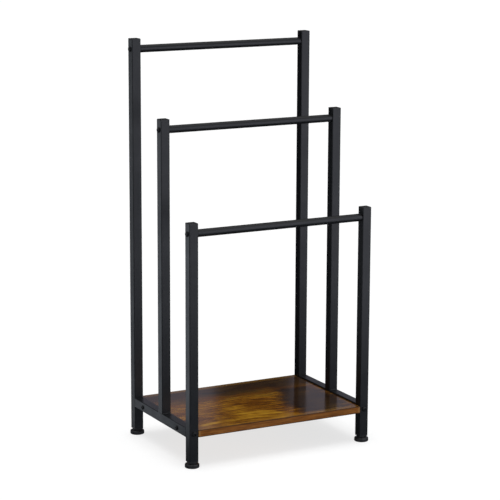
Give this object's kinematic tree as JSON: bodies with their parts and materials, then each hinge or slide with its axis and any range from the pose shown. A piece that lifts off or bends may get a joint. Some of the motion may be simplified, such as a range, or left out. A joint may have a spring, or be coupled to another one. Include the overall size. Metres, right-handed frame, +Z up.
{
  "type": "towel rack",
  "caption": "Free-standing towel rack: black square-tube frame, round hanging rails stepped down from back to front, wood-look shelf below, levelling feet.",
  "frame": {"origin": "on the floor at the centre of the footprint", "axes": "+Z up, +X to the rack's right seen from the front, -Y towards the front, where the lowest rail is"},
  "size_m": [0.432, 0.296, 0.85],
  "materials": {
    "frame_paint": "satin black powder coat with a fine texture",
    "black_plastic": "moulded black plastic, matt",
    "black_fasteners": "black oxide steel, satin",
    "bare_steel": "zinc-plated steel, hidden inside the tubes and the shelf's ends",
    "shelf_wood": "rustic brown wood-grain foil on particle board, satin"
  },
  "bodies": {
    "root": {"left_back_post": "frame_paint", "left_back_post_cap": "black_plastic", "left_middle_post": "frame_paint", "left_middle_post_cap": "black_plastic", "left_front_post": "frame_paint", "left_front_post_cap": "black_plastic", "right_back_post": "frame_paint", "right_back_post_cap": "black_plastic", "right_middle_post": "frame_paint", "right_middle_post_cap": "black_plastic", "right_front_post": "frame_paint", "right_front_post_cap": "black_plastic", "left_side_rail": "frame_paint", "right_side_rail": "frame_paint", "back_hanging_rail": "frame_paint", "middle_hanging_rail": "frame_paint", "front_hanging_rail": "frame_paint", "hanging_rail_plugs": "bare_steel", "hanging_rail_bolts": "black_fasteners", "side_rail_plugs": "bare_steel", "side_rail_bolts": "black_fasteners", "shelf_board": "shelf_wood", "shelf_inserts": "bare_steel", "shelf_screws": "black_fasteners", "foot_inserts": "black_plastic"},
    "left_back_stud": {"left_back_foot_stud": "bare_steel"},
    "left_back_pad": {"left_back_foot_pad": "black_plastic"},
    "left_front_stud": {"left_front_foot_stud": "bare_steel"},
    "left_front_pad": {"left_front_foot_pad": "black_plastic"},
    "right_back_stud": {"right_back_foot_stud": "bare_steel"},
    "right_back_pad": {"right_back_foot_pad": "black_plastic"},
    "right_front_stud": {"right_front_foot_stud": "bare_steel"},
    "right_front_pad": {"right_front_foot_pad": "black_plastic"}
  },
  "joints": [
    {"name": "left_back_foot_travel", "type": "slide", "parent": "root", "child": "left_back_stud", "axis": [0, 0, -1], "range_m": [0, 0.01]},
    {"name": "left_back_foot_turn", "type": "hinge", "parent": "left_back_stud", "child": "left_back_pad", "pos_m": [-0.201, 0.133, 0], "axis": [0, 0, -1], "range_deg": [0, 2880]},
    {"name": "left_front_foot_travel", "type": "slide", "parent": "root", "child": "left_front_stud", "axis": [0, 0, -1], "range_m": [0, 0.01]},
    {"name": "left_front_foot_turn", "type": "hinge", "parent": "left_front_stud", "child": "left_front_pad", "pos_m": [-0.201, -0.133, 0], "axis": [0, 0, -1], "range_deg": [0, 2880]},
    {"name": "right_back_foot_travel", "type": "slide", "parent": "root", "child": "right_back_stud", "axis": [0, 0, -1], "range_m": [0, 0.01]},
    {"name": "right_back_foot_turn", "type": "hinge", "parent": "right_back_stud", "child": "right_back_pad", "pos_m": [0.201, 0.133, 0], "axis": [0, 0, -1], "range_deg": [0, 2880]},
    {"name": "right_front_foot_travel", "type": "slide", "parent": "root", "child": "right_front_stud", "axis": [0, 0, -1], "range_m": [0, 0.01]},
    {"name": "right_front_foot_turn", "type": "hinge", "parent": "right_front_stud", "child": "right_front_pad", "pos_m": [0.201, -0.133, 0], "axis": [0, 0, -1], "range_deg": [0, 2880]}
  ],
  "couplings": [
    {"joint": "left_back_foot_turn", "follows": "left_back_foot_travel", "rad_per_m": 5026.5},
    {"joint": "left_front_foot_turn", "follows": "left_front_foot_travel", "rad_per_m": 5026.5},
    {"joint": "right_back_foot_turn", "follows": "right_back_foot_travel", "rad_per_m": 5026.5},
    {"joint": "right_front_foot_turn", "follows": "right_front_foot_travel", "rad_per_m": 5026.5}
  ]
}
